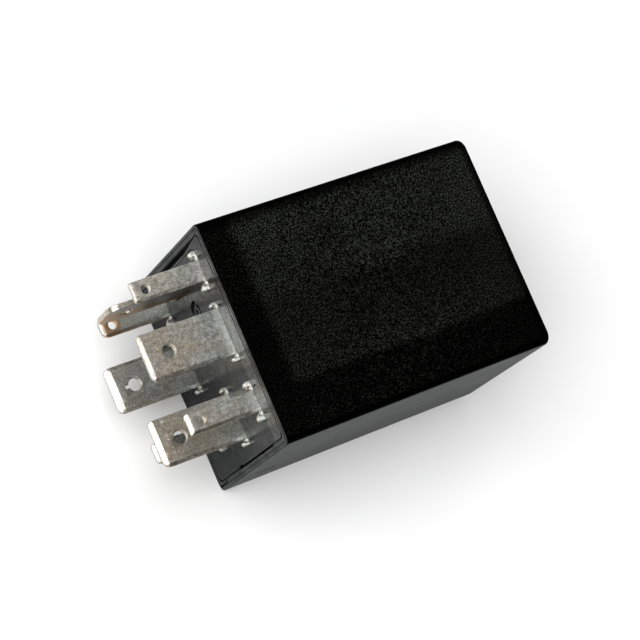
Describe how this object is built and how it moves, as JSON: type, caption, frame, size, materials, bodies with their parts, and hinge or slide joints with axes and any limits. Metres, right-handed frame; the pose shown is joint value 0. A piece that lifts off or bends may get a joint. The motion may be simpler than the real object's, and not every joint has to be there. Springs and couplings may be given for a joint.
{
  "type": "plug in relay",
  "caption": "Plug-in relay: black moulded cover over a hinged-armature coil relay and drive board, with flat tinned blades standing out of its base",
  "frame": {"origin": "centre of the base's outer face, which seats on the socket", "axes": "+X from the seating face to the closed end of the cover, so the blades point to -X; +Y across the width toward the quarter-turned blade; +Z out of the broad side of the cover that is up when the relay lies down"},
  "size_m": [0.0517, 0.03, 0.028],
  "materials": {
    "case_plastic": "black moulded plastic with a fine spark-eroded grain",
    "base_plastic": "dark grey moulded plastic, smooth with a slight gloss",
    "tinned_brass": "rolled brass with a dull tin plating",
    "board_laminate": "glass laminate under green solder mask",
    "solder": "satin tin solder",
    "yoke_steel": "zinc plated soft iron",
    "bobbin_nylon": "off-white glass-filled nylon",
    "copper_wire": "enamelled copper wire",
    "spring_bronze": "rolled spring bronze",
    "contact_silver": "silver alloy, slightly dulled",
    "carrier_brass": "stamped brass",
    "rivet_steel": "plain steel",
    "capacitor_sleeve": "dark blue shrink sleeve",
    "bung_rubber": "black seal rubber",
    "black_epoxy": "moulded black epoxy",
    "resistor_lacquer": "tan lacquer",
    "lead_wire": "tinned copper wire",
    "chip_ceramic": "fired tan ceramic"
  },
  "bodies": {
    "base": {"base_plate": "base_plastic", "blade_87": "tinned_brass", "blade_30": "tinned_brass", "blade_85": "tinned_brass", "blade_86": "tinned_brass", "pin_1": "tinned_brass", "pin_2": "tinned_brass", "pin_3": "tinned_brass", "pin_4": "tinned_brass", "circuit_board": "board_laminate", "solder_joints": "solder", "yoke": "yoke_steel", "core": "yoke_steel", "rest_stop": "yoke_steel", "coil_bobbin": "bobbin_nylon", "coil_winding": "copper_wire", "coil_pins": "lead_wire", "return_spring": "spring_bronze", "yoke_rivets": "rivet_steel", "fixed_contact": "contact_silver", "contact_carrier": "carrier_brass", "capacitor_can": "capacitor_sleeve", "capacitor_bung": "bung_rubber", "capacitor_leads": "lead_wire", "diode_body": "black_epoxy", "diode_leads": "lead_wire", "resistor_body": "resistor_lacquer", "resistor_leads": "lead_wire", "transistor_body": "black_epoxy", "transistor_leads": "lead_wire", "control_chip": "black_epoxy", "chip_leads": "lead_wire", "chip_resistors": "black_epoxy", "chip_capacitor": "chip_ceramic"},
    "cover": {"cover": "case_plastic"},
    "armature": {"armature": "yoke_steel", "contact_spring": "spring_bronze", "armature_rivets": "rivet_steel", "moving_contact": "contact_silver"}
  },
  "joints": [
    {"name": "cover_slide", "type": "slide", "parent": "base", "child": "cover", "axis": [1, 0, 0], "range_m": [0, 0.042]},
    {"name": "armature_hinge", "type": "hinge", "parent": "base", "child": "armature", "pos_m": [0.0319, -0.0045, 0.0093], "axis": [0, 1, 0], "range_deg": [0, 2.95], "stiffness_Nm_per_rad": 0.01, "springref_deg": -28.65}
  ]
}
